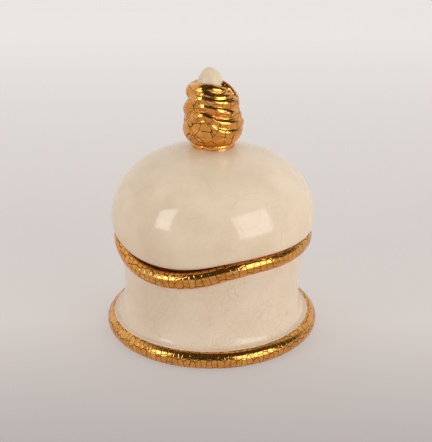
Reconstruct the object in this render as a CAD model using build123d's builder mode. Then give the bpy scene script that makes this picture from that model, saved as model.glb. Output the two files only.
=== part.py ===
"""Lidded ceramic box in pyxis form: a waisted cup, a domed lid that lifts off and a wound knob.

Frame: millimetres, +Z up, origin at the middle of the foot's bearing face. The front is -Y.
The fired box comes apart into two pieces, the cup and the lid. Each is built up from the
clay members below, every one of which is its own solid.
"""
import os
from math import cos, hypot, radians, sin, sqrt

from build123d import *

os.makedirs("parts", exist_ok=True)

# Cup: a waisted wall with its floor, standing on the foot roll and ending under the rim roll
waist_radius = 45.6
waist_height = 23.0
cup_wall = 4.5
floor_thickness = 6.0
floor_recess = 2.5
floor_corner_radius = 4.0
foot_seat_overhang = 1.2
foot_seat_sink = 0.5

# Foot roll: a round coil wider than the waist, ground flat where it stands on the table
foot_spread = 5.6
foot_roll_radius = 4.75
foot_flat_depth = 0.35

# Rim roll: a round coil that runs level and dips twice, on opposite sides of the mouth
rim_spread = 1.3
rim_roll_radius = 4.7
rim_level = 51.95
rim_dip = 8.3
dip_azimuth = -123.0
dip_half_angle = 66.0

# Lid: a dome in three tangent arcs and a straight skirt, its lower edge cut to the same wave
lid_height = 47.95
lid_overhang = 5.71
lid_wall = 5.0
crown_sweep = 25.5
shoulder_radius = 40.0
shoulder_sweep = 20.1
belly_radius = 31.1
belly_sweep = 51.4
lid_edge_fillet = 2.2
lid_seat_clearance = 0.45
dip_shadow_gap = 0.9

# Locating flange inside the lid: a web on the wall and a ring that drops into the mouth
flange_clearance = 0.8
flange_wall = 4.0
flange_web = 3.5
flange_web_rise = 0.8
flange_drop = 18.5
flange_edge_fillet = 1.2

# Knob: a collar and bulb, a rope wound round it from the bulb to the top, and a bare tip
collar_radius = 11.2
collar_height = 1.8
neck_radius = 10.6
neck_height = 0.35
bulb_radius = 15.0
bulb_rise = 6.3
stem_shoulder_radius = 12.6
stem_shoulder_rise = 15.0
stem_top_radius = 6.2
stem_top_rise = 7.9
rope_radius = 2.75
rope_gap = 0.5
rope_turns = 3.25
rope_start_azimuth = -40.0
rope_end_rise = 0.3
rope_proud = 0.5
tip_radius = 6.1
tip_offset = 1.2
tip_height = 7.25
tip_shoulder_height = 4.4
tip_nose_radius = 2.6

# Cup and rolls: values worked out from the sizes above
foot_ring_radius = waist_radius + foot_spread
foot_centre_height = foot_roll_radius - foot_flat_depth
foot_seat_radius = foot_ring_radius + foot_seat_overhang
foot_seat_height = foot_centre_height + foot_roll_radius - foot_seat_sink
flare_run = foot_seat_radius - waist_radius
flare_drop = waist_height - foot_seat_height
flare_radius = (flare_run**2 + flare_drop**2) / (2 * flare_run)
floor_top = floor_recess + floor_thickness
floor_reach = sqrt((flare_radius + cup_wall) ** 2 - (waist_height - floor_top) ** 2)
floor_edge_radius = waist_radius + flare_radius - floor_reach
rim_ring_radius = waist_radius + rim_spread
mouth_outer_radius = rim_ring_radius + cup_wall / 2
mouth_inner_radius = rim_ring_radius - cup_wall / 2
mouth_low = rim_level - rim_roll_radius
mouth_spill = rim_level + 2 * rim_roll_radius

# Lid: the crown's radius brings the dome out to its widest, a named overhang beyond the rim roll
lid_top = rim_level + lid_height
crown_end = radians(crown_sweep)
shoulder_end = radians(crown_sweep + shoulder_sweep)
belly_end = radians(crown_sweep + shoulder_sweep + belly_sweep)
belly_middle_radius = rim_ring_radius + lid_overhang - belly_radius
shoulder_middle_radius = belly_middle_radius - (shoulder_radius - belly_radius) * sin(shoulder_end)
crown_radius = shoulder_radius + shoulder_middle_radius / sin(crown_end)
shoulder_middle_height = lid_top - crown_radius + (crown_radius - shoulder_radius) * cos(crown_end)
belly_middle_height = shoulder_middle_height + (shoulder_radius - belly_radius) * cos(shoulder_end)
skirt_length = lid_wall + rim_dip + rim_roll_radius
lid_edge_radius = belly_middle_radius + belly_radius * sin(belly_end) - lid_wall / 2
lid_edge_reach = rim_roll_radius + lid_seat_clearance + lid_edge_fillet
lid_edge_rise = sqrt(lid_edge_reach**2 - (lid_edge_radius - rim_ring_radius) ** 2)
lid_edge_level = rim_level + lid_edge_rise - lid_edge_fillet
flange_radius = rim_ring_radius - rim_roll_radius - flange_clearance
web_underside = lid_edge_level + lid_edge_fillet + flange_web_rise
flange_bottom = web_underside - flange_drop

# Knob: heights stacked on the dome, and the rope's place on the bulb
collar_top = lid_top - crown_radius + sqrt(crown_radius**2 - collar_radius**2) + collar_height
neck_top = collar_top + neck_height
bulb_level = neck_top + bulb_rise
stem_shoulder_level = bulb_level + stem_shoulder_rise
stem_top = stem_shoulder_level + stem_top_rise
rope_pitch = 2 * rope_radius + rope_gap
rope_top = stem_top + rope_end_rise
rope_low_radius = bulb_radius + rope_proud - rope_radius


def polar(radius, azimuth, height):
    """Point at a radius, azimuth in degrees from +X, and height."""
    return Vector(radius * cos(radians(azimuth)), radius * sin(radians(azimuth)), height)


def heading(azimuth):
    """Level direction of travel round the axis at an azimuth."""
    return Vector(-sin(radians(azimuth)), cos(radians(azimuth)), 0)


def biarc(start, start_direction, end, end_direction):
    """Add two tangent arcs with equal arms, from start to end along the two directions."""
    chord = end - start
    both = start_direction + end_direction
    square = 4 - both.dot(both)
    linear = chord.dot(both)
    arm = (sqrt(linear**2 + square * chord.dot(chord)) - linear) / square
    start_knee = start + start_direction * arm
    end_knee = end - end_direction * arm
    middle = (start_knee + end_knee) * 0.5
    TangentArc(start, middle, tangent=start_direction)
    TangentArc(middle, end, tangent=(end_knee - start_knee).normalized())


def rim_wave(radius, level, dip):
    """Add the closed wave of the mouth: two opposite dips of two biarcs each, joined by level arcs."""
    for middle in (dip_azimuth, dip_azimuth + 180):
        before = middle - dip_half_angle
        after = middle + dip_half_angle
        following = middle + 180 - dip_half_angle
        bottom = polar(radius, middle, level - dip)
        biarc(polar(radius, before, level), heading(before), bottom, heading(middle))
        biarc(bottom, heading(middle), polar(radius, after, level), heading(after))
        TangentArc(polar(radius, after, level), polar(radius, following, level), tangent=heading(after))


def looks_down_at_the_rim(face):
    """Whether a face of the lid is part of the wavy lower edge of its wall."""
    return face.normal_at().Z < -0.5 and face.center().Z < belly_middle_height


def runs_round_the_axis(edge):
    """Whether an edge of the lid's rim runs along the wall and not across it."""
    start = edge @ 0
    end = edge @ 1
    return abs(hypot(start.X, start.Y) - hypot(end.X, end.Y)) < lid_wall / 2


def rope_point(share):
    """Middle of the rope at a share of its winding, from 0 at the top end to 1 at the low end."""
    azimuth = rope_start_azimuth + 360 * rope_turns * share
    radius = rope_low_radius - (rope_low_radius - stem_top_radius) * (1 - share) ** 4
    return polar(radius, azimuth, rope_top - rope_pitch * rope_turns * share)


def rope_direction(share):
    """Direction of the rope at a share of its winding."""
    step = 1e-4
    return (rope_point(share + step) - rope_point(share - step)).normalized()


# Foot roll
with BuildPart() as foot_roll:
    with BuildSketch(Plane.XZ):
        with Locations((foot_ring_radius, foot_centre_height)):
            Circle(foot_roll_radius)
    revolve(axis=Axis.Z)
    split(bisect_by=Plane.XY, keep=Keep.TOP)

# Rim roll
with BuildPart() as rim_roll:
    with BuildLine() as rim_path:
        rim_wave(rim_ring_radius, rim_level, rim_dip)
    rim_wire = rim_path.wires()[0]
    with BuildSketch(Plane(origin=rim_wire @ 0, z_dir=rim_wire % 0)):
        Circle(rim_roll_radius)
    sweep(path=rim_wire)

# Cup: the wall runs up past the rim roll, and what the roll cuts off above it is dropped
with BuildPart() as base_cup:
    with BuildSketch(Plane.XZ) as cup_profile:
        with BuildLine():
            foot_seat = (foot_seat_radius, foot_seat_height)
            waist_outer = (waist_radius, waist_height)
            waist_inner = (waist_radius - cup_wall, waist_height)
            TangentArc(waist_outer, foot_seat, tangent=(0, -1))
            TangentArc(waist_outer, (mouth_outer_radius, mouth_low), tangent=(0, 1))
            Polyline(
                (mouth_outer_radius, mouth_low),
                (mouth_outer_radius, mouth_spill),
                (mouth_inner_radius, mouth_spill),
                (mouth_inner_radius, mouth_low),
            )
            TangentArc(waist_inner, (mouth_inner_radius, mouth_low), tangent=(0, 1))
            TangentArc(waist_inner, (floor_edge_radius, floor_top), tangent=(0, -1))
            Polyline(
                (floor_edge_radius, floor_top),
                (0, floor_top),
                (0, floor_recess),
                (foot_ring_radius, floor_recess),
                foot_seat,
            )
        make_face()
        floor_corner = cup_profile.vertices().sort_by_distance((floor_edge_radius, floor_top))[0]
        fillet(floor_corner, floor_corner_radius)
    revolve(axis=Axis.Z)
    add(foot_roll.part, mode=Mode.SUBTRACT)
    add(rim_roll.part, mode=Mode.SUBTRACT)
    add(base_cup.solids().sort_by(Axis.Z)[0], mode=Mode.REPLACE)

# Lid dome: cut off along the wave by a fat tube, then rounded along both edges
with BuildPart() as lid_seam:
    seam_radius = lid_wall + rim_roll_radius
    with BuildLine() as seam_path:
        rim_wave(lid_edge_radius, lid_edge_level - seam_radius, rim_dip - dip_shadow_gap)
    seam_wire = seam_path.wires()[0]
    with BuildSketch(Plane(origin=seam_wire @ 0, z_dir=seam_wire % 0)):
        Circle(seam_radius)
    sweep(path=seam_wire)

with BuildPart() as lid_dome:
    with BuildSketch(Plane.XZ):
        with BuildLine():
            skirt_ends = []
            for inset in (0, lid_wall):
                crown = JernArc((0, lid_top - inset), (1, 0), crown_radius - inset, -crown_sweep)
                shoulder = JernArc(crown @ 1, crown % 1, shoulder_radius - inset, -shoulder_sweep)
                belly = JernArc(shoulder @ 1, shoulder % 1, belly_radius - inset, -belly_sweep)
                skirt = Line(belly @ 1, belly @ 1 + (belly % 1) * skirt_length)
                skirt_ends.append(skirt @ 1)
            Line(*skirt_ends)
            Line((0, lid_top), (0, lid_top - lid_wall))
        make_face()
    revolve(axis=Axis.Z)
    add(lid_seam.part, mode=Mode.SUBTRACT)
    add(lid_dome.solids().sort_by(Axis.Z)[-1], mode=Mode.REPLACE)
    seam_faces = lid_dome.faces().filter_by(looks_down_at_the_rim)
    fillet(seam_faces.edges().filter_by(runs_round_the_axis), lid_edge_fillet)

# Lid flange: an L in section, let into the inside of the dome's wall
with BuildPart() as lid_flange:
    with BuildSketch(Plane.XZ) as flange_profile:
        with BuildLine():
            Polyline(
                (flange_radius - flange_wall, flange_bottom),
                (flange_radius, flange_bottom),
                (flange_radius, web_underside),
                (lid_edge_radius, web_underside),
                (lid_edge_radius, web_underside + flange_web),
                (flange_radius - flange_wall, web_underside + flange_web),
                close=True,
            )
        make_face()
        fillet(flange_profile.vertices().group_by(Axis.Y)[0], flange_edge_fillet)
    revolve(axis=Axis.Z)
    add(lid_dome.part, mode=Mode.SUBTRACT)

# Rope of the knob: one strand on quarter-turn biarcs, with rounded ends
with BuildPart() as finial_wrap:
    with BuildLine() as rope_path:
        quarters = round(4 * rope_turns)
        for quarter in range(quarters):
            here = quarter / quarters
            there = (quarter + 1) / quarters
            biarc(rope_point(here), rope_direction(here), rope_point(there), rope_direction(there))
    rope_wire = rope_path.wires()[0]
    with BuildSketch(Plane(origin=rope_point(0), z_dir=rope_direction(0))):
        Circle(rope_radius)
    sweep(path=rope_wire)
    for end, outward in ((rope_point(0), -rope_direction(0)), (rope_point(1), rope_direction(1))):
        with BuildSketch(Plane(origin=end, x_dir=outward, z_dir=outward.cross(Vector(0, 0, 1)))):
            with BuildLine():
                cap = CenterArc((0, 0), rope_radius, 0, 90)
                Polyline(cap @ 1, (0, 0), cap @ 0)
            make_face()
        revolve(axis=Axis(end, outward))

# Stem of the knob: collar, neck and bulb in one, with the rope's channel cut round it
with BuildPart() as finial_stem:
    with BuildSketch(Plane.XZ):
        with BuildLine():
            stem_foot = lid_top - lid_wall / 2
            bulb_side = (bulb_radius, bulb_level)
            stem_shoulder = (stem_shoulder_radius, stem_shoulder_level)
            Polyline(
                (neck_radius, neck_top),
                (neck_radius, collar_top),
                (collar_radius, collar_top),
                (collar_radius, stem_foot),
                (0, stem_foot),
                (0, stem_top),
                (stem_top_radius, stem_top),
            )
            TangentArc(bulb_side, (neck_radius, neck_top), tangent=(0, -1))
            upper_bulb = TangentArc(bulb_side, stem_shoulder, tangent=(0, 1))
            TangentArc(stem_shoulder, (stem_top_radius, stem_top), tangent=upper_bulb % 1)
        make_face()
    revolve(axis=Axis.Z)
    add(lid_dome.part, mode=Mode.SUBTRACT)
    add(finial_wrap.part, mode=Mode.SUBTRACT)

# Tip of the knob: a pointed nub on the stem's flat top, notched where the rope passes
with BuildPart() as finial_tip:
    with BuildSketch(Plane.XZ):
        with BuildLine():
            tip_side = (tip_radius - tip_offset, stem_top)
            tip_shoulder = (tip_radius - tip_offset, stem_top + tip_shoulder_height)
            tip_nose = (tip_nose_radius - tip_offset, stem_top + tip_height)
            tip_point = (-tip_offset, stem_top + tip_height)
            Bezier(tip_side, tip_shoulder, tip_nose, tip_point)
            Polyline(tip_point, (-tip_offset, stem_top), tip_side)
        make_face()
    revolve(axis=Axis((-tip_offset, 0, 0), (0, 0, 1)))
    add(finial_wrap.part, mode=Mode.SUBTRACT)

pieces = {
    "foot_roll": foot_roll,
    "base_cup": base_cup,
    "rim_roll": rim_roll,
    "lid_dome": lid_dome,
    "lid_flange": lid_flange,
    "finial_stem": finial_stem,
    "finial_wrap": finial_wrap,
    "finial_tip": finial_tip,
}
for name, piece in pieces.items():
    piece.part.label = name
    export_step(piece.part, f"parts/{name}.step")

# Least gap between neighbouring turns of the rope
rope_samples = 200
rope_points = [rope_point(index / rope_samples) for index in range(rope_samples + 1)]
half_turn = round(rope_samples / rope_turns / 2)
least_gap = min(
    (rope_points[upper] - rope_points[lower]).length
    for upper in range(rope_samples + 1)
    for lower in range(upper + half_turn, rope_samples + 1)
) - 2 * rope_radius
print(f"least gap between turns of the rope: {least_gap:.2f} mm")
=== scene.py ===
"""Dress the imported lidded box: glazed shells, gold rolls and a wound knob, in a small studio.

Lengths are in metres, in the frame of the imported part: +Z up, the front towards -Y. Azimuths of
the knob are counted from the front, to the right, and those of the rim from +X, anticlockwise.
"""
import logging
from collections.abc import Callable, Sequence
from dataclasses import dataclass, replace
from enum import Enum
from itertools import pairwise
from math import asin, atan2, cos, hypot, pi, radians, sin, sqrt, tan, tau

import bpy
from mathutils import Matrix, Quaternion, Vector, noise


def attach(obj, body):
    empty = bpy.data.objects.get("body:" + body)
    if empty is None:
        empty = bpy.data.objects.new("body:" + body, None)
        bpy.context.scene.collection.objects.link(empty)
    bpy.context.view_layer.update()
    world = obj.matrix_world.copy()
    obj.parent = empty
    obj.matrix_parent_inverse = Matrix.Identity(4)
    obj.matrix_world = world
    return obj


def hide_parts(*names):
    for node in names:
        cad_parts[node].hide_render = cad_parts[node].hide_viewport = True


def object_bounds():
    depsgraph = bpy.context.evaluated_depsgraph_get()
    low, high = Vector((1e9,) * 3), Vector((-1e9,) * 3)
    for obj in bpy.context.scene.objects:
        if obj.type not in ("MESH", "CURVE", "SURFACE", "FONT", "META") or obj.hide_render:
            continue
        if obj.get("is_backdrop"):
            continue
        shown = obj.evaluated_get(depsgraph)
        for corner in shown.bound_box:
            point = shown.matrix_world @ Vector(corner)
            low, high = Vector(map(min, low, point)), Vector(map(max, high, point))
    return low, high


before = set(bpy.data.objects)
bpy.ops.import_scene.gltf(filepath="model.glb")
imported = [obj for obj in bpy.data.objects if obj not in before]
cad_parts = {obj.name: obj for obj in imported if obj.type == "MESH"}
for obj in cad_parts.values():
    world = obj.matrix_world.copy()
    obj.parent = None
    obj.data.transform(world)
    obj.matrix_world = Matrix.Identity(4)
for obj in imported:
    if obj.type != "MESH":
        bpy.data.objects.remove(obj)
CAD_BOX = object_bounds()

LOG = logging.getLogger("pyxis")
MM = 0.001
WELD = 0.002 * MM
RING_STEPS = 320
ROLL_STEPS = 48
NOISE_MIDDLE = (0.5, 0.5, 0.5)
NOISE_ROUGHNESS = 0.55
SOFT_EDGES = (0.3, 0.7)
CRACK_CORE = 0.25
GLAZE_IOR = 1.5
FOOT_RING = 51.2 * MM
FOOT_ROLL = 4.75 * MM
RIM_RING = 46.9 * MM
RIM_ROLL = 4.7 * MM

Colour = tuple[float, float, float, float]
Triple = tuple[float, float, float]
Point = tuple[float, float]


def display_colour(*shares: int) -> Colour:
    """Turn a colour as it is seen on a screen into the linear one that shaders take.

    Args:
        shares: Its red, green and blue, from 0 to 255.

    Returns:
        The linear red, green and blue, from 0 to 1, and an alpha of 1.
    """
    def linear(share: float) -> float:
        """Undo the screen's curve on one share."""
        return share / 12.92 if share <= 0.04045 else ((share + 0.055) / 1.055) ** 2.4

    return (*(linear(share / 255) for share in shares), 1.0)


class Body(Enum):
    """The two loose pieces that the fired box comes apart into."""

    BASE = "base"
    LID = "lid"


class Slot(Enum):
    """The record's material slots."""

    BODY = "body_glaze"
    LID = "lid_glaze"
    GOLD = "gold_lustre"
    TIP = "tip_glaze"


class Space(Enum):
    """How the cells of a crackled skin are laid out."""

    FLAT = "2D"
    SOLID = "3D"


class Wire:
    """One output of a shader node, on which sums are written as plain expressions."""

    def __init__(self, sheet: "NodeSheet", socket: bpy.types.NodeSocket) -> None:
        """Keep the node sheet and the socket on it."""
        self.sheet = sheet
        self.socket = socket

    def maths(self, operation: str, *terms: "Wire | float") -> "Wire":
        """Add a Math node with these inputs, in order."""
        sockets = dict(enumerate(terms))
        return self.sheet.node("ShaderNodeMath", {"operation": operation}, sockets)

    def __add__(self, other: "Wire | float") -> "Wire":
        """Sum of two values."""
        return self.maths("ADD", self, other)

    __radd__ = __add__

    def __sub__(self, other: "Wire | float") -> "Wire":
        """Difference of two values."""
        return self.maths("SUBTRACT", self, other)

    def __rsub__(self, other: float) -> "Wire":
        """Difference from a number on the left."""
        return self.maths("SUBTRACT", other, self)

    def __mul__(self, other: "Wire | float") -> "Wire":
        """Product of two values."""
        return self.maths("MULTIPLY", self, other)

    __rmul__ = __mul__

    def at_most(self, other: "Wire | float") -> "Wire":
        """The lower of two values."""
        return self.maths("MINIMUM", self, other)

    def at_least(self, other: "Wire | float") -> "Wire":
        """The higher of two values."""
        return self.maths("MAXIMUM", self, other)

    def fraction(self) -> "Wire":
        """What is left of a value past its whole number."""
        return self.maths("FRACT", self)

    def step(self, low: float, high: float, start: float = 0.0, end: float = 1.0) -> "Wire":
        """Ease from a start to an end as this value goes from low to high."""
        spans = {"Value": self, "From Min": low, "From Max": high, "To Min": start, "To Max": end}
        return self.sheet.node("ShaderNodeMapRange", {"interpolation_type": "SMOOTHSTEP"}, spans)


@dataclass(frozen=True)
class Crackle:
    """The cells of a crackled skin: their size, their layout and how far they stray from a grid."""

    cell: float
    space: Space = Space.SOLID
    disorder: float = 1.0


class NodeSheet:
    """The shader nodes of one material or of the room."""

    def __init__(self, owner: bpy.types.Material | bpy.types.World) -> None:
        """Start an empty sheet.

        Args:
            owner: The material or the world that it belongs to.
        """
        self.owner = owner
        owner.use_nodes = True
        self.tree = owner.node_tree
        self.tree.nodes.clear()

    @classmethod
    def for_material(cls, name: str) -> "NodeSheet":
        """Start the sheet of a new material with this name."""
        return cls(bpy.data.materials.new(name))

    def node(
        self,
        kind: str,
        settings: dict[str, object] | None = None,
        sockets: dict[str | int, object] | None = None,
        output: str | int = 0,
    ) -> Wire:
        """Add a node.

        Args:
            kind: The node's type.
            settings: Its own settings, which are set first; "stops" are those of a colour ramp.
            sockets: The value or wire of each input, by its name or place.
            output: The output that is wanted, by its name or place.

        Returns:
            That output.
        """
        made = self.tree.nodes.new(kind)
        for setting, value in (settings or {}).items():
            if setting == "stops":
                self.set_stops(made.color_ramp, value)
            else:
                setattr(made, setting, value)
        for place, value in (sockets or {}).items():
            if isinstance(value, Wire):
                self.tree.links.new(value.socket, made.inputs[place])
            else:
                made.inputs[place].default_value = value
        return Wire(self, made.outputs[output])

    @staticmethod
    def set_stops(ramp: bpy.types.ColorRamp, stops: Sequence[tuple[float, Colour]]) -> None:
        """Give a colour ramp its stops.

        Args:
            ramp: The ramp.
            stops: The place and colour of each stop.
        """
        while len(ramp.elements) < len(stops):
            ramp.elements.new(1.0)
        for element, stop in zip(ramp.elements, stops):
            element.position, element.color = stop

    def vector(self, operation: str, *terms: object, **named: object) -> Wire:
        """Add a Vector Math node with these inputs, in order or by name."""
        sockets = {**dict(enumerate(terms)), **named}
        return self.node("ShaderNodeVectorMath", {"operation": operation}, sockets)

    def mix(self, share: Wire | float, first: Wire | Colour, second: Wire | Colour) -> Wire:
        """Mix two colours, by the share of the second."""
        sockets = {0: share, 6: first, 7: second}
        return self.node("ShaderNodeMix", {"data_type": "RGBA"}, sockets, output=2)

    def place(self) -> Wire:
        """Position on the piece, in the frame of the part."""
        return self.node("ShaderNodeTexCoord", output="Object")

    def part(self, vector: Wire, axis: str) -> Wire:
        """One coordinate of a vector, by the name of its axis."""
        return self.node("ShaderNodeSeparateXYZ", sockets={0: vector}, output=axis)

    def cloud(self, place: Wire, size: float, detail: float = 2.0) -> Wire:
        """Add a soft noise about 0.5, with blotches of a size and so much finer detail."""
        fineness = {"Scale": 1 / size, "Detail": detail, "Roughness": NOISE_ROUGHNESS}
        return self.node("ShaderNodeTexNoise", sockets={"Vector": place, **fineness})

    def warped(self, place: Wire, size: float, reach: float) -> Wire:
        """Shift a position by a soft noise, so that lines read from it wander.

        Args:
            place: The position.
            size: Size of the noise's blotches.
            reach: How far it shifts.

        Returns:
            The shifted position.
        """
        sockets = {"Vector": place, "Scale": 1 / size, "Detail": 1.0}
        drift = self.node("ShaderNodeTexNoise", sockets=sockets, output="Color")
        centred = self.vector("SUBTRACT", drift, NOISE_MIDDLE)
        return self.vector("ADD", place, self.vector("SCALE", centred, Scale=2 * reach))

    def cells(self, place: Wire, crackle: Crackle, feature: str, output: str) -> Wire:
        """Add the cells of a crackled skin.

        Args:
            place: Where they are read.
            crackle: Their size and layout.
            feature: What is worked out for them.
            output: The output that is wanted.

        Returns:
            That output.
        """
        settings = {"feature": feature, "voronoi_dimensions": crackle.space.value}
        sockets = {"Vector": place, "Scale": 1 / crackle.cell, "Randomness": crackle.disorder}
        return self.node("ShaderNodeTexVoronoi", settings, sockets, output)

    def cracks(self, place: Wire, crackle: Crackle, width: float) -> Wire:
        """Draw cracks with this half width: 1 in the middle of a crack and 0 on the cells."""
        edge = self.cells(place, crackle, "DISTANCE_TO_EDGE", "Distance") * crackle.cell
        return edge.step(CRACK_CORE * width, width, 1.0, 0.0)

    def flakes(self, place: Wire, crackle: Crackle) -> Wire:
        """Give each cell a tone of its own, from 0 to 1."""
        return self.part(self.cells(place, crackle, "F1", "Color"), "X")

    def bump(self, height: Wire, depth: float) -> Wire:
        """Add a bump, on which a height of 1 stands for a depth."""
        sockets = {"Height": height, "Strength": 1.0, "Distance": depth}
        return self.node("ShaderNodeBump", sockets=sockets)

    def surface(self, **sockets: object) -> bpy.types.Material:
        """Close the sheet with a Principled shader, its inputs' names with underscores."""
        named = {name.replace("_", " "): value for name, value in sockets.items()}
        return self.close(self.node("ShaderNodeBsdfPrincipled", sockets=named))

    def close(self, shader: Wire) -> bpy.types.Material | bpy.types.World:
        """Feed a shader to the sheet's output.

        Args:
            shader: The shader.

        Returns:
            The finished material or world.
        """
        kind = "Material" if isinstance(self.owner, bpy.types.Material) else "World"
        made = self.tree.nodes.new(f"ShaderNodeOutput{kind}")
        self.tree.links.new(shader.socket, made.inputs["Surface"])
        return self.owner

    def seen_rays(self) -> Wire:
        """Tell the rays that show a surface to the eye, straight, mirrored or through glass.

        Returns:
            1 for those rays and 0 for the others.
        """
        kinds = ("Is Camera Ray", "Is Glossy Ray", "Is Transmission Ray")
        sights = [self.node("ShaderNodeLightPath", output=kind) for kind in kinds]
        return sights[0].at_least(sights[1]).at_least(sights[2])


@dataclass(frozen=True)
class CrackleGlaze:
    """A glossy cream glaze with a net of fine cracks.

    The sizes that end in cells, and those of the fine net, are shares of the wide net's own.
    """

    name: str
    cream: Colour
    deep_cream: Colour
    crack_colour: Colour
    cell: float
    crack_width: float
    crack_strength: float
    faint_strength: float = 0.45
    fade_cells: float = 6.0
    wander: float = 0.25
    wander_cells: float = 2.5
    fine_cell: float = 0.45
    fine_share: float = 0.6
    patch_cells: float = 3.5
    patch_edges: Point = (0.42, 0.62)
    blotch: float = 22 * MM
    blotch_edges: Point = (0.32, 0.68)
    swell: float = 9 * MM
    swell_height: float = 0.35
    crack_depth: float = 0.15
    relief: float = 0.05 * MM
    gloss: float = 0.07
    crack_roughness: float = 0.25

    def material(self) -> bpy.types.Material:
        """Build the glaze's material.

        Returns:
            The material.
        """
        sheet = NodeSheet.for_material(self.name)
        place = sheet.place()
        line = sheet.warped(place, self.cell * self.wander_cells, self.cell * self.wander)
        wide = sheet.cracks(line, Crackle(self.cell), self.crack_width)
        fine_net = Crackle(self.cell * self.fine_cell)
        fine = sheet.cracks(line, fine_net, self.crack_width * self.fine_share)
        patches = sheet.cloud(place, self.cell * self.patch_cells).step(*self.patch_edges)
        net = wide.at_least(fine * patches * self.fine_share)
        fade = sheet.cloud(place, self.cell * self.fade_cells)
        strength = fade.step(*SOFT_EDGES, self.faint_strength, 1.0)
        blotches = sheet.cloud(place, self.blotch, detail=3.0).step(*self.blotch_edges)
        cream = sheet.mix(blotches, self.cream, self.deep_cream)
        swells = sheet.cloud(place, self.swell, detail=1.0)
        ripple = swells * self.swell_height - net * self.crack_depth
        return sheet.surface(
            Base_Color=sheet.mix(net * strength * self.crack_strength, cream, self.crack_colour),
            Roughness=net * self.crack_roughness + self.gloss,
            IOR=GLAZE_IOR,
            Normal=sheet.bump(ripple, self.relief),
        )


@dataclass(frozen=True)
class GoldLustre:
    """A mirror gold skin over glaze, broken by dark cracks into flakes with edges that turn down.

    On a roll the cracks are read from the roll's own map, unrolled and stretched across it. The
    sizes that end in cells, and those of the branches and the curl, are shares of the cracks' own.
    """

    name: str
    cell: float
    branch_cell: float
    crack_width: float
    ripple_depth: float
    gold: Colour = display_colour(250, 187, 101)
    worn_gold: Colour = display_colour(237, 162, 77)
    crack_colour: Colour = display_colour(62, 33, 12)
    curl: float = 0.0
    curl_reach: float = 2.0
    ring_radius: float = 0.0
    roll_radius: float = 0.0
    seam: Point = (0.25, 0.75)
    squeeze: float = 1.0
    disorder: float = 1.0
    wander: float = 0.06
    swell_cells: float = 1.6
    branch_width: float = 0.8
    branch_strength: float = 0.7
    patch_cells: float = 2.6
    patch_edges: Point = (0.46, 0.56)
    wear: float = 0.8
    wear_size: float = 6 * MM
    crack_depth: float = 0.4
    gloss: float = 0.07
    flake_roughness: float = 0.08
    crack_roughness: float = 0.3

    def material(self) -> bpy.types.Material:
        """Build the lustre's material.

        Returns:
            The material.
        """
        sheet = NodeSheet.for_material(self.name)
        place = sheet.place()
        space = Space.FLAT if self.ring_radius else Space.SOLID
        run = self.unrolled(sheet) if self.ring_radius else place
        line = sheet.warped(run, self.cell * self.swell_cells, self.cell * self.wander)
        skin = Crackle(self.cell, space, self.disorder)
        wide = sheet.cracks(line, skin, self.crack_width)
        branching = replace(skin, cell=self.branch_cell)
        branches = sheet.cracks(run, branching, self.crack_width * self.branch_width)
        patches = sheet.cloud(place, self.cell * self.patch_cells).step(*self.patch_edges)
        net = wide.at_least(branches * patches * self.branch_strength)
        flake = sheet.flakes(line, skin)
        tone = (sheet.cloud(place, self.wear_size).step(*SOFT_EDGES) + flake).at_most(1.0)
        gold = sheet.mix(tone * self.wear, self.gold, self.worn_gold)
        turned = sheet.cracks(line, skin, self.crack_width * self.curl_reach)
        swells = sheet.cloud(place, self.cell * self.swell_cells, detail=1.0)
        ripple = swells - net * self.crack_depth - turned * self.curl
        return sheet.surface(
            Base_Color=sheet.mix(net, gold, self.crack_colour),
            Roughness=net * self.crack_roughness + flake * self.flake_roughness + self.gloss,
            Metallic=1.0,
            Normal=sheet.bump(ripple, self.ripple_depth),
        )

    def unrolled(self, sheet: NodeSheet) -> Wire:
        """Work out where the cracks of a roll are read.

        Args:
            sheet: The material's nodes.

        Returns:
            The way along the ring from its back and round the roll from its underside.
        """
        chart = sheet.node("ShaderNodeTexCoord", output="UV")
        along = sheet.part(chart, "X") + self.seam[0]
        around = sheet.part(chart, "Y") + self.seam[1]
        length, girth = tau * self.ring_radius, tau * self.roll_radius
        way = {0: along.fraction() * length, 1: around.fraction() * (girth * self.squeeze)}
        return sheet.node("ShaderNodeCombineXYZ", sockets=way)


@dataclass(frozen=True)
class TipGlaze:
    """A smooth cream glaze, slightly greyer where it runs thick."""

    name: str
    cream: Colour
    thick_cream: Colour
    blotch: float = 5 * MM
    swell: float = 3 * MM
    relief: float = 0.04 * MM
    gloss: float = 0.34
    thick_roughness: float = 0.1

    def material(self) -> bpy.types.Material:
        """Build the glaze's material.

        Returns:
            The material.
        """
        sheet = NodeSheet.for_material(self.name)
        place = sheet.place()
        tone = sheet.cloud(place, self.blotch).step(*SOFT_EDGES)
        return sheet.surface(
            Base_Color=sheet.mix(tone, self.cream, self.thick_cream),
            Roughness=tone * self.thick_roughness + self.gloss,
            IOR=GLAZE_IOR,
            Normal=sheet.bump(sheet.cloud(place, self.swell), self.relief),
        )


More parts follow.
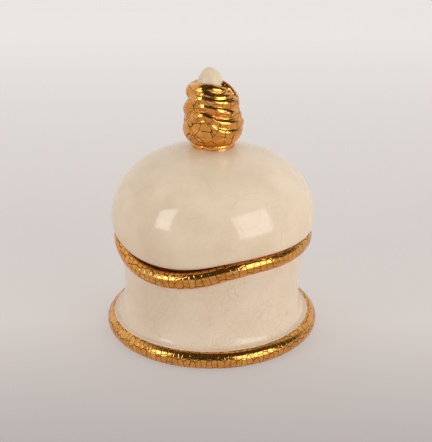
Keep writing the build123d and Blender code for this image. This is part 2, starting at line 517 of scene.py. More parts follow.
class Bench:
    """The modelling moves that the pieces share."""

    @staticmethod
    def clear() -> None:
        """Leave edit mode and deselect everything."""
        if bpy.context.object and bpy.context.object.mode != "OBJECT":
            bpy.ops.object.mode_set(mode="OBJECT")
        bpy.ops.object.select_all(action="DESELECT")

    @classmethod
    def hold(cls, *pieces: bpy.types.Object) -> None:
        """Select these pieces alone, the last of them active.

        Args:
            pieces: The pieces.
        """
        cls.clear()
        for piece in pieces:
            piece.select_set(True)
        bpy.context.view_layer.objects.active = pieces[-1]

    @staticmethod
    def named(name: str) -> bpy.types.Object:
        """Name the primitive that was just added, and its mesh.

        Args:
            name: The name.

        Returns:
            The primitive.
        """
        piece = bpy.context.object
        piece.name = name
        piece.data.name = name
        return piece

    @classmethod
    def turn(cls, name: str, profile: Sequence[Point], steps: int) -> bpy.types.Object:
        """Turn a profile about the upright axis, as on a wheel.

        Args:
            name: The piece's name.
            profile: Radius and height of each point, in order.
            steps: How many steps the turn has.

        Returns:
            The turned piece.
        """
        cls.clear()
        bpy.ops.mesh.primitive_plane_add(size=MM)
        piece = cls.named(name)
        bpy.ops.object.mode_set(mode="EDIT")
        bpy.ops.mesh.select_all(action="SELECT")
        bpy.ops.mesh.merge(type="CENTER")
        bpy.ops.transform.translate(value=(profile[0][0], 0.0, profile[0][1]))
        for (radius, height), (next_radius, next_height) in pairwise(profile):
            move = (next_radius - radius, 0.0, next_height - height)
            bpy.ops.mesh.extrude_vertices_move(TRANSFORM_OT_translate={"value": move})
        bpy.ops.mesh.select_all(action="SELECT")
        bpy.ops.mesh.spin(steps=steps, angle=tau, center=(0, 0, 0), axis=(0, 0, 1))
        bpy.ops.mesh.select_all(action="SELECT")
        bpy.ops.mesh.remove_doubles(threshold=WELD)
        bpy.ops.mesh.normals_make_consistent(inside=False)
        bpy.ops.object.mode_set(mode="OBJECT")
        cls.smooth(piece)
        return piece

    @classmethod
    def ring(
        cls, name: str, ring_radius: float, roll_radius: float, height: float
    ) -> bpy.types.Object:
        """Add a round roll that lies in a ring.

        Args:
            name: The piece's name.
            ring_radius: Radius of the ring's middle line.
            roll_radius: Radius of the roll.
            height: Height of the middle line.

        Returns:
            The ring.
        """
        cls.clear()
        bpy.ops.mesh.primitive_torus_add(
            major_segments=RING_STEPS,
            minor_segments=ROLL_STEPS,
            major_radius=ring_radius,
            minor_radius=roll_radius,
            location=(0, 0, height),
        )
        piece = cls.named(name)
        bpy.ops.object.transform_apply(location=True, rotation=True, scale=True)
        cls.smooth(piece)
        return piece

    @staticmethod
    def reshape(piece: bpy.types.Object, move: Callable[[Vector], Vector]) -> None:
        """Move each point of a piece, for forms that no operator gives.

        Args:
            piece: The piece.
            move: Gives the new place of a point.
        """
        for vertex in piece.data.vertices:
            vertex.co = move(vertex.co.copy())
        piece.data.update()

    @classmethod
    def finish_with(cls, piece: bpy.types.Object, kind: str, **settings: object) -> None:
        """Add a modifier and apply it.

        Args:
            piece: The piece.
            kind: The modifier's type.
            settings: Its settings.
        """
        cls.hold(piece)
        modifier = piece.modifiers.new(kind.lower(), kind)
        for setting, value in settings.items():
            setattr(modifier, setting, value)
        bpy.ops.object.modifier_apply(modifier=modifier.name)

    @classmethod
    def smooth(cls, piece: bpy.types.Object, angle: float = radians(50)) -> None:
        """Shade a piece smooth, apart from edges sharper than an angle."""
        cls.hold(piece)
        bpy.ops.object.shade_smooth_by_angle(angle=angle)

    @staticmethod
    def dress(
        piece: bpy.types.Object,
        material: bpy.types.Material,
        body: Body,
        slot: Slot,
        *nodes: str,
    ) -> None:
        """Give a piece its finish, its body and the nodes that it stands for.

        Args:
            piece: The piece.
            material: Its finish.
            body: The body that it rides on.
            slot: Not used.
            nodes: The solids that it replaces.
        """
        piece.data.materials.clear()
        piece.data.materials.append(material)
        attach(piece, body.value)
        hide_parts(*nodes)
        LOG.info("%s: %d faces on %s", piece.name, len(piece.data.polygons), body.value)


def spread(start: float, end: float, count: int) -> list[float]:
    """Values in even steps from one value to another, without the first."""
    return [start + (end - start) * step / count for step in range(1, count + 1)]


def arc(centre: Point, radius: float, start: float, end: float, count: int) -> list[Point]:
    """Points on an arc of a profile, its angles counted from straight up, outwards."""
    angles = [start, *spread(start, end, count)]
    return [(centre[0] + radius * sin(angle), centre[1] + radius * cos(angle)) for angle in angles]


def path(start: Point, *legs: tuple[float, float, int]) -> list[Point]:
    """Draw straight stretches of a profile, each from the end of the one before.

    Args:
        start: Radius and height of the start.
        legs: Radius and height of each stretch's end, and how many steps it has.

    Returns:
        The radius and height of each point after the start.
    """
    points = [start]
    for radius, height, count in legs:
        last = points[-1]
        points += zip(spread(last[0], radius, count), spread(last[1], height, count))
    return points[1:]


def rounded(start: Point, corner: Point, end: Point, radius: float, count: int) -> list[Point]:
    """Points on the arc that rounds a corner of a profile.

    Args:
        start: A point on the line before the corner.
        corner: The corner.
        end: A point on the line after it.
        radius: Radius of the arc.
        count: How many steps it has.

    Returns:
        The radius and height of each point.
    """
    tip = Vector(corner)
    inward, outward = (Vector(start) - tip).normalized(), (Vector(end) - tip).normalized()
    half = inward.angle(outward) / 2
    middle = tip + (inward + outward).normalized() * radius / sin(half)
    first, last = (tip + way * radius / tan(half) - middle for way in (inward, outward))
    turned = (first.lerp(last, step / count).normalized() * radius for step in range(count + 1))
    return [tuple(middle + spoke) for spoke in turned]


def unevenness(point: Vector, size: float, seed: float) -> float:
    """A soft wander between about -1 and 1, as a hand leaves it, the same at each run."""
    return noise.noise(point / size + Vector((seed, seed, seed)))


@dataclass
class RimWave:
    """The line of the mouth: level, with two dips on opposite sides."""

    ring_radius: float = RIM_RING
    level: float = 51.95 * MM
    dip: float = 8.3 * MM
    dip_azimuth: float = radians(-123.0)
    dip_half_angle: float = radians(66.0)
    slope_step: float = radians(0.5)

    def drop(self, azimuth: float) -> float:
        """Share of the dip that the mouth lies below its level.

        Args:
            azimuth: Azimuth from +X.

        Returns:
            0 on the level stretches and 1 at the bottom of a dip.
        """
        off = abs((azimuth - self.dip_azimuth + pi / 2) % pi - pi / 2)
        if off >= self.dip_half_angle:
            return 0.0
        share = off / self.dip_half_angle
        return 1 - 2 * share**2 if share < 0.5 else 2 * (1 - share) ** 2

    def middle(self, azimuth: float) -> Vector:
        """Point on the mouth's middle line."""
        height = self.level - self.dip * self.drop(azimuth)
        return Vector((self.ring_radius * cos(azimuth), self.ring_radius * sin(azimuth), height))

    def along(self, azimuth: float) -> Vector:
        """Direction of the mouth's middle line."""
        ends = (self.middle(azimuth + side * self.slope_step) for side in (1, -1))
        return (next(ends) - next(ends)).normalized()


@dataclass
class Base:
    """The cup with its foot roll and rim roll."""

    wave: RimWave
    glaze: CrackleGlaze
    foot_gold: GoldLustre
    rim_gold: GoldLustre
    waist_radius: float = 46.2 * MM
    waist_height: float = 23.0 * MM
    flare_radius: float = 40.0 * MM
    wall: float = 4.5 * MM
    floor_recess: float = 2.5 * MM
    floor_top: float = 8.5 * MM
    foot_ring_radius: float = FOOT_RING
    foot_roll_radius: float = FOOT_ROLL
    foot_flat: float = 0.35 * MM
    ledge: Point = (51.75 * MM, 9.2 * MM)
    ledge_fillet: float = 2.0 * MM
    ledge_round: float = 0.25 * MM
    ledge_run: float = 2.0 * MM
    ledge_drop: float = 1.2 * MM
    corner_radius: float = 2.9 * MM
    corner_inset: float = 2.6 * MM
    corner_rise: float = 2.2 * MM
    corner_bend: float = radians(120)
    cup_shift: Point = (0.9 * MM, 0.9 * MM)
    rim_roll_radius: float = RIM_ROLL
    hand_wander: float = 0.012
    wander_size: float = 14 * MM
    foot_seed: float = 3.1
    rim_seed: float = 7.7
    foot_lean: float = 0.75 * MM
    slope_step: float = 0.2 * MM
    floor_rows: int = 12
    flare_rows: int = 20
    wall_rows: int = 32
    corner_rows: int = 8
    mouth_rows: int = 4
    ledge_rows: int = 3
    lip_rows: int = 2
    turn_steps: int = 256

    def outer_radius(self, height: float) -> float:
        """Work out the outer radius of the cup's wall.

        Args:
            height: The height on the wall.

        Returns:
            The radius at that height.
        """
        run = self.mouth[0] - self.waist_radius
        rise = self.mouth[1] - self.waist_height
        off = height - self.waist_height
        curve = self.flare_radius if off < 0 else (run**2 + rise**2) / (2 * run)
        return self.waist_radius + curve - sqrt(curve**2 - min(abs(off), curve) ** 2)

    def inner_radius(self, height: float) -> float:
        """Work out the inner radius of the cup's wall.

        Args:
            height: The height on the wall.

        Returns:
            The radius at that height.
        """
        step = self.slope_step
        slope = (self.outer_radius(height + step) - self.outer_radius(height - step)) / (2 * step)
        return self.outer_radius(height) - self.wall * sqrt(1 + min(slope, 0) ** 2)

    def flare(self) -> list[Point]:
        """Draw the cup's outer face from its glazed ledge on the foot roll up to the waist.

        Returns:
            The points of the face.
        """
        edge, level = self.ledge
        under, corner = (edge, level - self.ledge_run), (self.outer_radius(level), level)
        above = (self.outer_radius(level + self.ledge_run), level + self.ledge_run)
        points = rounded(under, self.ledge, corner, self.ledge_round, self.mouth_rows)
        points += rounded(self.ledge, corner, above, self.ledge_fillet, self.corner_rows)
        heights = spread(points[-1][1], self.waist_height, self.flare_rows)
        return points + [(self.outer_radius(height), height) for height in heights]

    @property
    def mouth(self) -> Point:
        """Outer radius and height of the wall where it meets the rim roll."""
        return self.wave.ring_radius + self.wall / 2, self.wave.level - self.rim_roll_radius

    def profile(self) -> list[Point]:
        """Draw the cup's section from the middle of its underside round to that of its floor.

        Returns:
            The points of the section.
        """
        edge, level = self.ledge
        radius, height = self.mouth
        inside = radius - self.wall
        recess = self.floor_recess
        points = [(0.0, recess)]
        points += path(
            points[-1],
            (self.foot_ring_radius, recess, self.floor_rows),
            (edge, level - self.ledge_drop, self.ledge_rows),
        )
        points += self.flare()
        rows = spread(self.waist_height, height, self.wall_rows)
        points += [(self.outer_radius(row), row) for row in rows]
        points += path(
            points[-1],
            (radius, self.wave.level, self.mouth_rows),
            (inside, self.wave.level, self.lip_rows),
            (inside, height, self.mouth_rows),
        )
        rows = spread(height, self.floor_top + self.corner_rise, self.wall_rows)
        points += [(self.inner_radius(row), row) for row in rows]
        corner = (points[-1][0] - self.corner_inset, self.floor_top + self.corner_radius)
        points += arc(corner, self.corner_radius, self.corner_bend, pi, self.corner_rows)[1:]
        return points + path(points[-1], (0.0, self.floor_top, self.floor_rows))

    def leaning(self, point: Vector, shift: Point = (0.0, 0.0)) -> Vector:
        """Lean a low point to the left, and shift it further to the left and to the front."""
        share = max(0.0, 1 - point.z / self.mouth[1])
        return point - Vector((self.foot_lean, 0, 0)) * share - Vector((*shift, 0)) * share**2

    def follow_wave(self, point: Vector) -> Vector:
        """Draw the upper wall down where the mouth dips.

        Args:
            point: A point of the turned cup.

        Returns:
            Its place on the finished one.
        """
        if point.z <= self.waist_height:
            return self.leaning(point, self.cup_shift)
        share = (point.z - self.waist_height) / (self.wave.level - self.waist_height)
        height = point.z - self.wave.dip * self.wave.drop(atan2(point.y, point.x)) * share
        radius = hypot(point.x, point.y)
        reach = min(point.z, self.mouth[1])
        drawn = radius + self.outer_radius(min(height, self.mouth[1])) - self.outer_radius(reach)
        drawn_point = Vector((point.x * drawn / radius, point.y * drawn / radius, height))
        return self.leaning(drawn_point, self.cup_shift)

    def foot_form(self, point: Vector) -> Vector:
        """Give the foot roll its hand-rolled wander and its ground flat.

        Args:
            point: A point of the even ring.

        Returns:
            Its place on the finished roll.
        """
        middle = Vector((point.x, point.y, 0)).normalized() * self.foot_ring_radius
        middle.z = self.foot_roll_radius - self.foot_flat
        swell = 1 + self.hand_wander * unevenness(middle, self.wander_size, self.foot_seed)
        moved = middle + (point - middle) * swell
        moved.z = max(moved.z, 0.0)
        return self.leaning(moved)

    def rim_form(self, point: Vector) -> Vector:
        """Lay the rim roll along the mouth's wave.

        Args:
            point: A point of the level ring.

        Returns:
            Its place on the finished roll.
        """
        azimuth = atan2(point.y, point.x)
        outward = Vector((cos(azimuth), sin(azimuth), 0))
        upward = outward.cross(self.wave.along(azimuth))
        middle = self.wave.middle(azimuth)
        swell = 1 + self.hand_wander * unevenness(middle, self.wander_size, self.rim_seed)
        reach = hypot(point.x, point.y) - self.wave.ring_radius
        return middle + (outward * reach + upward * (point.z - self.wave.level)) * swell

    def build(self) -> None:
        """Model and dress the base's pieces."""
        cup = Bench.turn("cup_shell", self.profile(), self.turn_steps)
        Bench.reshape(cup, self.follow_wave)
        Bench.dress(cup, self.glaze.material(), Body.BASE, Slot.BODY, "base_cup")
        height = self.foot_roll_radius - self.foot_flat
        foot = Bench.ring("foot_coil", self.foot_ring_radius, self.foot_roll_radius, height)
        Bench.reshape(foot, self.foot_form)
        Bench.dress(foot, self.foot_gold.material(), Body.BASE, Slot.GOLD, "foot_roll")
        rim = Bench.ring("rim_coil", self.wave.ring_radius, self.rim_roll_radius, self.wave.level)
        Bench.reshape(rim, self.rim_form)
        Bench.dress(rim, self.rim_gold.material(), Body.BASE, Slot.GOLD, "rim_roll")


@dataclass
class Lid:
    """The domed lid with its locating flange."""

    wave: RimWave
    glaze: CrackleGlaze
    top: float = 99.9 * MM
    widest: float = 52.61 * MM
    wall: float = 5.0 * MM
    crown_sweep: float = radians(25.5)
    shoulder_radius: float = 40.0 * MM
    shoulder_sweep: float = radians(20.1)
    belly_radius: float = 31.1 * MM
    belly_sweep: float = radians(51.4)
    edge_level: float = 56.47 * MM
    shadow_gap: float = 1.8 * MM
    flange_radius: float = 41.4 * MM
    flange_wall: float = 4.0 * MM
    flange_bottom: float = 40.97 * MM
    flange_web: Point = (59.47 * MM, 62.97 * MM)
    flange_round: float = 1.2 * MM
    dome_rows: tuple[int, int, int] = (22, 14, 30)
    edge_rows: int = 14
    ring_rows: int = 10
    round_rows: int = 6
    web_rows: int = 4
    lip_rows: int = 2
    turn_steps: int = 256

    def __post_init__(self) -> None:
        """Work out the dome's arcs from its widest radius and its sweeps."""
        self.shoulder_end = self.crown_sweep + self.shoulder_sweep
        self.belly_end = self.shoulder_end + self.belly_sweep
        narrowing = self.shoulder_radius - self.belly_radius
        belly_out = self.widest - self.belly_radius
        shoulder_out = belly_out - narrowing * sin(self.shoulder_end)
        self.crown_radius = self.shoulder_radius + shoulder_out / sin(self.crown_sweep)
        self.crown_middle = (0.0, self.top - self.crown_radius)
        flattening = self.crown_radius - self.shoulder_radius
        shoulder_level = self.crown_middle[1] + flattening * cos(self.crown_sweep)
        self.shoulder_middle = (shoulder_out, shoulder_level)
        self.belly_middle = (belly_out, shoulder_level + narrowing * cos(self.shoulder_end))
        self.skirt_lean = self.belly_end - pi / 2

    def wall_arcs(self, inset: float) -> list[Point]:
        """Draw the dome's arcs, from the top out to the end of the belly.

        Args:
            inset: Depth below the outer face.

        Returns:
            The points of the arcs.
        """
        middles = (self.crown_middle, self.shoulder_middle, self.belly_middle)
        radii = (self.crown_radius, self.shoulder_radius, self.belly_radius)
        sweeps = pairwise((0.0, self.crown_sweep, self.shoulder_end, self.belly_end))
        points = [(0.0, self.top - inset)]
        for middle, radius, sweep, rows in zip(middles, radii, sweeps, self.dome_rows):
            points += arc(middle, radius - inset, *sweep, rows)[1:]
        return points

    def lower_radius(self, height: float) -> float:
        """Work out the outer radius of the belly and of the skirt below it.

        Args:
            height: The height on the dome.

        Returns:
            The radius at that height.
        """
        belly_radius, belly_height = self.belly_middle
        skirt_start = belly_height + self.belly_radius * cos(self.belly_end)
        if height > skirt_start:
            return belly_radius + sqrt(self.belly_radius**2 - (height - belly_height) ** 2)
        end = belly_radius + self.belly_radius * sin(self.belly_end)
        return end - (skirt_start - height) * tan(self.skirt_lean)

    def profile(self) -> list[Point]:
        """Draw the dome's section from its top down, round its edge and up inside.

        Returns:
            The points of the section.
        """
        half = self.wall / 2
        edge = (self.lower_radius(self.edge_level) - half, self.edge_level + half)
        lip = arc(edge, half, pi / 2, 3 * pi / 2, self.edge_rows)
        return self.wall_arcs(0.0) + lip + self.wall_arcs(self.wall)[::-1]

    def follow_wave(self, point: Vector) -> Vector:
        """Draw the skirt down where the mouth dips.

        Args:
            point: A point of the turned dome.

        Returns:
            Its place on the finished one.
        """
        hinge = self.belly_middle[1]
        if point.z >= hinge:
            return point
        share = min((hinge - point.z) / (hinge - self.edge_level), 1.0)
        dip = self.wave.dip - self.shadow_gap
        height = point.z - dip * self.wave.drop(atan2(point.y, point.x)) * share
        radius = hypot(point.x, point.y)
        drawn = radius + self.lower_radius(height) - self.lower_radius(point.z)
        return Vector((point.x * drawn / radius, point.y * drawn / radius, height))

    def flange_profile(self) -> list[Point]:
        """Draw the section of the locating flange: a rounded ring that hangs from a web.

        Returns:
            The points of the section.
        """
        outer, bend = self.flange_radius, self.flange_round
        inner, low = outer - self.flange_wall, self.flange_bottom + bend
        under, over = self.flange_web
        seat = self.lower_radius(under) - self.wall / 2
        points = [(inner, over), *path((inner, over), (inner, low, self.ring_rows))]
        points += arc((inner + bend, low), bend, 3 * pi / 2, pi, self.round_rows)[1:]
        points += arc((outer - bend, low), bend, pi, pi / 2, self.round_rows)
        return points + path(
            points[-1],
            (outer, under, self.ring_rows),
            (seat, under, self.web_rows),
            (seat, over, self.lip_rows),
            (inner, over, self.web_rows),
        )

    def build(self) -> None:
        """Model and dress the lid's pieces."""
        material = self.glaze.material()
        dome = Bench.turn("lid_shell", self.profile(), self.turn_steps)
        Bench.reshape(dome, self.follow_wave)
        Bench.dress(dome, material, Body.LID, Slot.LID, "lid_dome")
        flange = Bench.turn("lid_locating_ring", self.flange_profile(), self.turn_steps)
        Bench.dress(flange, material, Body.LID, Slot.LID, "lid_flange")


@dataclass(frozen=True)
class Strand:
    """One strand of the wound knob.

    Each point holds an azimuth from the front in degrees, then in millimetres its height, half
    the strand's width and how far its outer side reaches from the axis.
    """

    name: str
    points: tuple[tuple[float, float, float, float], ...]
    closed: bool = False


KNOB_STRANDS = (
    Strand("top", (
        (-230, 127.0, 3.0, 10.6), (-180, 128.4, 3.4, 11.6), (-130, 127.6, 3.9, 13.0),
        (-90, 126.8, 4.1, 13.65), (-62, 127.8, 3.8, 13.3), (-35, 129.2, 3.2, 12.4),
        (-12, 129.7, 2.8, 11.6), (10, 129.2, 2.6, 11.0), (32, 128.5, 2.4, 10.4),
        (52, 128.0, 2.0, 9.6),
    )),
    Strand("upper", (
        (-180, 121.2, 4.6, 14.6), (-130, 119.2, 5.0, 15.0), (-90, 118.0, 5.1, 15.0),
        (-65, 120.0, 4.8, 15.0), (-45, 123.0, 4.5, 14.8), (-30, 125.0, 3.8, 14.4),
        (-12, 124.8, 2.8, 14.2), (10, 123.8, 2.3, 14.2), (35, 123.2, 2.3, 14.1),
        (60, 122.4, 3.4, 13.9), (90, 121.0, 5.6, 13.9), (135, 121.6, 5.0, 14.2),
    ), closed=True),
    Strand("upper_lip", (
        (-40, 126.6, 2.4, 13.2), (-20, 127.6, 2.1, 13.3), (0, 126.6, 1.9, 13.3),
        (18, 126.0, 1.9, 13.2), (36, 126.0, 2.0, 12.9), (58, 126.0, 2.2, 12.0),
    )),
    Strand("middle", (
        (-52, 119.5, 2.0, 12.6), (-36, 121.0, 2.4, 13.6), (-20, 121.6, 2.6, 14.3),
        (0, 120.6, 2.8, 14.7), (24, 119.0, 2.9, 14.8), (50, 117.4, 3.0, 14.7),
        (90, 114.8, 3.4, 14.7), (130, 113.6, 3.4, 14.4),
    )),
    Strand("lower", (
        (-180, 110.0, 4.6, 15.4), (-130, 108.8, 4.8, 15.3), (-90, 108.5, 4.8, 15.2),
        (-60, 111.2, 4.4, 15.2), (-40, 115.0, 3.8, 15.1), (-24, 117.0, 3.0, 15.0),
        (-10, 116.6, 2.4, 15.0), (8, 114.6, 2.2, 15.2), (23, 113.6, 2.2, 15.4),
        (50, 112.8, 2.5, 15.5), (75, 111.8, 3.2, 15.7), (100, 110.8, 4.2, 15.7),
        (140, 110.4, 4.5, 15.5),
    ), closed=True),
    Strand("lower_lip", (
        (-32, 113.6, 2.0, 14.6), (-13, 114.4, 1.8, 15.0), (5, 111.2, 1.7, 15.4),
        (21, 109.4, 1.7, 15.6), (45, 108.6, 1.9, 15.6), (75, 108.2, 2.2, 15.5),
        (105, 108.4, 2.4, 15.1),
    )),
    Strand("end", (
        (150, 122.0, 4.2, 13.4), (115, 121.6, 4.0, 13.6), (88, 123.0, 3.6, 13.2),
        (75, 126.9, 3.0, 11.2), (66, 130.0, 2.5, 8.4), (58, 131.6, 1.8, 6.6),
    )),
)


@dataclass
class Knob:
    """The wound gold knob with its bare tip."""

    gold: GoldLustre
    tip_glaze: TipGlaze
    foot: float = 98.2 * MM
    collar_radius: float = 11.2 * MM
    collar_top: float = 100.86 * MM
    neck_radius: float = 10.6 * MM
    bulb_radius: float = 15.1 * MM
    bulb_level: float = 107.8 * MM
    core_top: float = 130.5 * MM
    skin_voxel: float = 0.3 * MM
    tip_radius: float = 6.8 * MM
    tip_seat: float = 128.0 * MM
    tip_shoulder: float = 130.5 * MM
    tip_top: float = 138.9 * MM
    tip_offset: float = 0.9 * MM
    tip_lean: float = 0.08
    strands: tuple[Strand, ...] = KNOB_STRANDS
    neck_rise: float = 0.35 * MM
    collar_bevel: float = 0.2 * MM
    crown_draw: float = 1.2 * MM
    crown_fullness: float = 0.7
    tip_seat_ring: float = 0.6
    tip_bluntness: float = 1.6
    tip_fullness: float = 0.55
    smooth_share: float = 0.5
    smooth_passes: int = 6
    foot_rows: int = 6
    collar_rows: int = 4
    bevel_rows: int = 2
    bulb_rows: int = 14
    crown_rows: int = 24
    tip_rows: int = 32
    strand_sides: int = 8
    strand_steps: int = 12
    turn_steps: int = 96

    def core_profile(self) -> list[Point]:
        """Draw the section of the knob's collar, neck and bulb.

        Returns:
            The points of the section.
        """
        run = self.bulb_radius - self.neck_radius
        rise = self.bulb_level - self.collar_top - self.neck_rise
        curve = (run**2 + rise**2) / (2 * run)
        bulb = (self.bulb_radius - curve, self.bulb_level)
        points = [(0.0, self.foot)]
        points += path(
            points[-1],
            (self.collar_radius, self.foot, self.foot_rows),
            (self.collar_radius, self.collar_top, self.collar_rows),
            (self.neck_radius, self.collar_top + self.collar_bevel, self.bevel_rows),
        )
        points += arc(bulb, curve, pi / 2 + asin(rise / curve), pi / 2, self.bulb_rows)
        for angle in spread(0.0, pi / 2, self.crown_rows):
            reach = self.bulb_radius - self.crown_draw * sin(angle)
            height = self.bulb_level + (self.core_top - self.bulb_level) * sin(angle)
            points.append((reach * cos(angle) ** self.crown_fullness, height))
        return points

    def strand_tube(self, strand: Strand) -> bpy.types.Object:
        """Model one strand as a round tube of changing width.

        Args:
            strand: The strand.

        Returns:
            The tube.
        """
        curve = bpy.data.curves.new(f"strand_{strand.name}", "CURVE")
        curve.dimensions = "3D"
        curve.bevel_depth = 1.0
        curve.bevel_resolution = self.strand_sides
        curve.use_fill_caps = True
        line = curve.splines.new("BEZIER")
        line.bezier_points.add(len(strand.points) - 1)
        line.use_cyclic_u = strand.closed
        line.resolution_u = self.strand_steps
        line.radius_interpolation = "BSPLINE"
        for knot, (azimuth, height, width, reach) in zip(line.bezier_points, strand.points):
            radius = (reach - width) * MM
            angle = radians(azimuth)
            knot.co = (radius * sin(angle), -radius * cos(angle), height * MM)
            knot.radius = width * MM
            knot.handle_left_type = knot.handle_right_type = "AUTO"
        tube = bpy.data.objects.new(curve.name, curve)
        bpy.context.collection.objects.link(tube)
        Bench.hold(tube)
        bpy.ops.object.convert(target="MESH")
        return bpy.context.object

    def tip_profile(self) -> list[Point]:
        """Draw the section of the tip: a blunt point on a full shoulder.

        Returns:
            The points of the section.
        """
        seat = (0.0, self.tip_radius * self.tip_seat_ring, self.tip_radius)
        points = [(radius, self.tip_seat) for radius in seat]
        for angle in [0.0, *spread(0.0, pi / 2, self.tip_rows)]:
            share = sin(angle)
            side = self.tip_radius * (1 - share**self.tip_bluntness) ** self.tip_fullness
            points.append((side, self.tip_shoulder + (self.tip_top - self.tip_shoulder) * share))
        return points

    def tip_form(self, point: Vector) -> Vector:
        """Set the tip off the axis and lean it to the left."""
        lean = self.tip_lean * max(point.z - self.tip_shoulder, 0.0)
        return point - Vector((self.tip_offset + lean, 0, 0))

    def build(self) -> None:
        """Model and dress the knob's pieces."""
        knob = Bench.turn("knob_skin", self.core_profile(), self.turn_steps)
        Bench.hold(*[self.strand_tube(strand) for strand in self.strands], knob)
        bpy.ops.object.join()
        Bench.finish_with(knob, "REMESH", mode="VOXEL", voxel_size=self.skin_voxel)
        passes = {"factor": self.smooth_share, "iterations": self.smooth_passes}
        Bench.finish_with(knob, "SMOOTH", **passes)
        Bench.smooth(knob, pi)
        Bench.dress(knob, self.gold.material(), Body.LID, Slot.GOLD, "finial_stem", "finial_wrap")
        tip = Bench.turn("knob_tip", self.tip_profile(), self.turn_steps)
        Bench.reshape(tip, self.tip_form)
        Bench.dress(tip, self.tip_glaze.material(), Body.LID, Slot.TIP, "finial_tip")


@dataclass(frozen=True)
class SoftBox:
    """A soft lamp in front of the object.

    Its radiance is that of its face, where 1 is white. Its turn is how far it is tipped up, swung
    round and rolled from facing its aim squarely.
    """

    name: str
    place: Triple
    size: Point
    radiance: float
    turn: Triple
    aim: Triple = (0.0, 0.0, 0.07)

    def add(self) -> None:
        """Hang the lamp in its place."""
        lamp = bpy.data.lights.new(self.name, "AREA")
        lamp.shape = "RECTANGLE"
        lamp.size, lamp.size_y = self.size
        lamp.energy = self.radiance * pi * self.size[0] * self.size[1]
        stand = bpy.data.objects.new(self.name, lamp)
        stand.location = self.place
        facing = (Vector(self.aim) - Vector(self.place)).to_track_quat("-Z", "Y")
        turns = zip(Matrix.Identity(3), self.turn)
        tipped, swung, rolled = (Quaternion(axis, angle) for axis, angle in turns)
        stand.rotation_euler = (facing @ rolled @ swung @ tipped).to_euler()
        bpy.context.collection.objects.link(stand)


LEFT_BOX = SoftBox(
    name="left_box",
    place=(-0.80, -0.50, 0.47),
    size=(0.46, 0.62),
    radiance=4.1,
    turn=(radians(24), radians(44), radians(21)),
)
RIGHT_BOX = SoftBox(
    name="right_box",
    place=(0.66, -0.62, 0.35),
    size=(0.70, 0.68),
    radiance=2.65,
    turn=(0.0, 0.0, radians(2)),
)


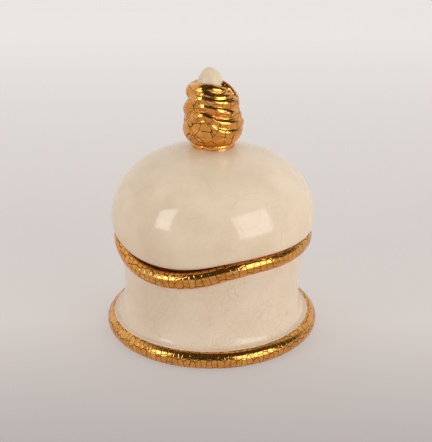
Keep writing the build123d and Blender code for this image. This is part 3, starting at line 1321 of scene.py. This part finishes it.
@dataclass
class Studio:
    """The pale floor, the soft boxes, the room and the camera.

    The floor's painted light and shade are given by their place from front to back: darker
    towards the front, lighter round the object and behind. The room is dark in front and
    overhead and pale behind for what mirrors it, and lights everything else by its fills.
    """

    boxes: tuple[SoftBox, ...] = (LEFT_BOX, RIGHT_BOX)
    # Painted light and shade on the floor: darker towards the front, lighter round the object and
    # far behind.
    painted_floor_light: tuple[tuple[float, Colour], ...] = (
        (-0.60, display_colour(208, 200, 197)),
        (-0.25, display_colour(197, 189, 186)),
        (-0.12, display_colour(188, 180, 177)),
        (0.00, display_colour(219, 211, 206)),
        (0.15, display_colour(219, 212, 209)),
        (0.80, display_colour(245, 239, 237)),
    )
    paper_side: Colour = display_colour(216, 209, 206)
    side_edges: Point = (0.42, 1.1)
    paper_glow: float = 0.6
    floor_radius: float = 12.0
    floor_corners: int = 96
    front_horizon: float = 0.8
    horizon_edges: Point = (0.05, 0.32)
    dark_room: float = 0.075
    overhead_edges: Point = (0.7, 0.92)
    pale_walls: float = 0.95
    wall_edges: Point = (-0.15, 0.35)
    wall_turn: float = 0.35
    low_fill: float = 1.26
    high_fill: float = 0.2
    fill_edges: Point = (0.05, 0.6)
    back_fill: float = 1.22
    back_edges: Point = (-0.4, 0.15)
    right_fill: float = 0.2
    camera_place: Triple = (1.6 * MM, -475.0 * MM, 245.05 * MM)
    camera_pitch: float = radians(21.55)
    camera_lens: float = 79.61
    camera_sensor: float = 36.0
    camera_clip: float = 0.01

    def build(self) -> None:
        """Set up the studio round the box."""
        self.add_floor()
        for box in self.boxes:
            box.add()
        self.set_room()
        self.add_camera()

    def add_floor(self) -> None:
        """Lay a wide pale floor."""
        Bench.clear()
        bpy.ops.mesh.primitive_circle_add(
            vertices=self.floor_corners, radius=self.floor_radius, fill_type="NGON"
        )
        floor = Bench.named("floor_sheet")
        floor.data.materials.append(self.paper())
        floor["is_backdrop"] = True

    def paper(self) -> bpy.types.Material:
        """Build the floor's pale paper, a little darker in front and even at the sides.

        Returns:
            The material.
        """
        sheet = NodeSheet.for_material("pale_paper")
        place = sheet.place()
        depth, side = sheet.part(place, "Y"), sheet.part(place, "X")
        nearest, furthest = self.painted_floor_light[0][0], self.painted_floor_light[-1][0]
        reach = furthest - nearest
        stops = [((spot - nearest) / reach, shade) for spot, shade in self.painted_floor_light]
        share = (depth - nearest) * (1 / reach)
        # The strip paints light and shade onto the floor: darker towards the front, lighter round
        # the object and behind.
        strip = sheet.node("ShaderNodeValToRGB", {"stops": stops}, {"Fac": share})
        aside = side.at_least(side * -1.0).step(*self.side_edges)
        colour = sheet.mix(aside, strip, self.paper_side)
        matt = sheet.node("ShaderNodeBsdfDiffuse", sockets={"Color": colour})
        glow = sheet.node("ShaderNodeEmission", sockets={"Color": colour, "Strength": 1.0})
        parts = {0: sheet.seen_rays() * self.paper_glow, 1: matt, 2: glow}
        return sheet.close(sheet.node("ShaderNodeMixShader", sockets=parts))

    def set_room(self) -> None:
        """Light the room softly, and show mirrors its dark front and its pale walls."""
        world = bpy.data.worlds.new("studio_room")
        sheet = NodeSheet(world)
        way = sheet.node("ShaderNodeTexCoord", output="Generated")
        side, depth, height = (sheet.part(way, axis) for axis in "XYZ")
        walls = (depth - side * self.wall_turn).step(*self.wall_edges)
        front = height.step(*self.horizon_edges, self.front_horizon, self.dark_room)
        ring = front + walls * (self.pale_walls - front)
        shown = ring + height.step(*self.overhead_edges) * (self.dark_room - ring)
        fill = height.step(*self.fill_edges, self.low_fill, self.high_fill)
        fill = fill + depth.step(*self.back_edges) * (self.back_fill - fill)
        light = fill + side.step(0.0, 1.0) * self.right_fill
        level = light + sheet.seen_rays() * (shown - light)
        sheet.close(sheet.node("ShaderNodeBackground", sockets={"Strength": level}))
        bpy.context.scene.world = world

    def add_camera(self) -> None:
        """Set the camera where the photograph was taken from."""
        lens = bpy.data.cameras.new("photo_camera")
        lens.lens = self.camera_lens
        lens.sensor_width = self.camera_sensor
        lens.clip_start = self.camera_clip
        camera = bpy.data.objects.new("photo_camera", lens)
        camera.location = self.camera_place
        camera.rotation_euler = (pi / 2 - self.camera_pitch, 0, 0)
        bpy.context.collection.objects.link(camera)
        bpy.context.scene.camera = camera


CUP_GLAZE = CrackleGlaze(
    name="cup_crackle",
    cream=display_colour(231, 211, 186),
    deep_cream=display_colour(225, 203, 176),
    crack_colour=display_colour(176, 148, 118),
    cell=4.2 * MM,
    crack_width=0.13 * MM,
    crack_strength=0.42,
)
LID_GLAZE = CrackleGlaze(
    name="lid_crackle",
    cream=display_colour(231, 211, 183),
    deep_cream=display_colour(224, 201, 172),
    crack_colour=display_colour(190, 162, 132),
    cell=10.0 * MM,
    crack_width=0.15 * MM,
    crack_strength=0.55,
)
FOOT_GOLD = GoldLustre(
    name="foot_lustre",
    cell=2.7 * MM,
    branch_cell=2.0 * MM,
    crack_width=0.18 * MM,
    ripple_depth=0.03 * MM,
    curl=1.1,
    ring_radius=FOOT_RING,
    roll_radius=FOOT_ROLL,
    squeeze=0.55,
    disorder=0.6,
)
RIM_GOLD = replace(
    FOOT_GOLD,
    name="rim_lustre",
    cell=3.2 * MM,
    branch_cell=2.2 * MM,
    ring_radius=RIM_RING,
    roll_radius=RIM_ROLL,
)
KNOB_GOLD = GoldLustre(
    name="knob_lustre",
    cell=5.7 * MM,
    branch_cell=4.2 * MM,
    crack_width=0.17 * MM,
    ripple_depth=0.06 * MM,
)
TIP_GLAZE = TipGlaze(
    name="tip_cream",
    cream=display_colour(229, 209, 180),
    thick_cream=display_colour(220, 198, 166),
)


def main() -> None:
    """Build the box's pieces and the studio."""
    logging.basicConfig(level=logging.INFO, format="%(name)s: %(message)s")
    wave = RimWave()
    Base(wave, CUP_GLAZE, FOOT_GOLD, RIM_GOLD).build()
    Lid(wave, LID_GLAZE).build()
    Knob(KNOB_GOLD, TIP_GLAZE).build()
    Studio().build()
    bpy.context.scene.view_settings.view_transform = "Standard"
    boxes = {"cad": CAD_BOX, "visual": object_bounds()}
    low, high = boxes["visual"]
    LOG.info("the box is %.1f mm wide", (high.x - low.x) / MM)


if __name__ == "__main__":
    main()
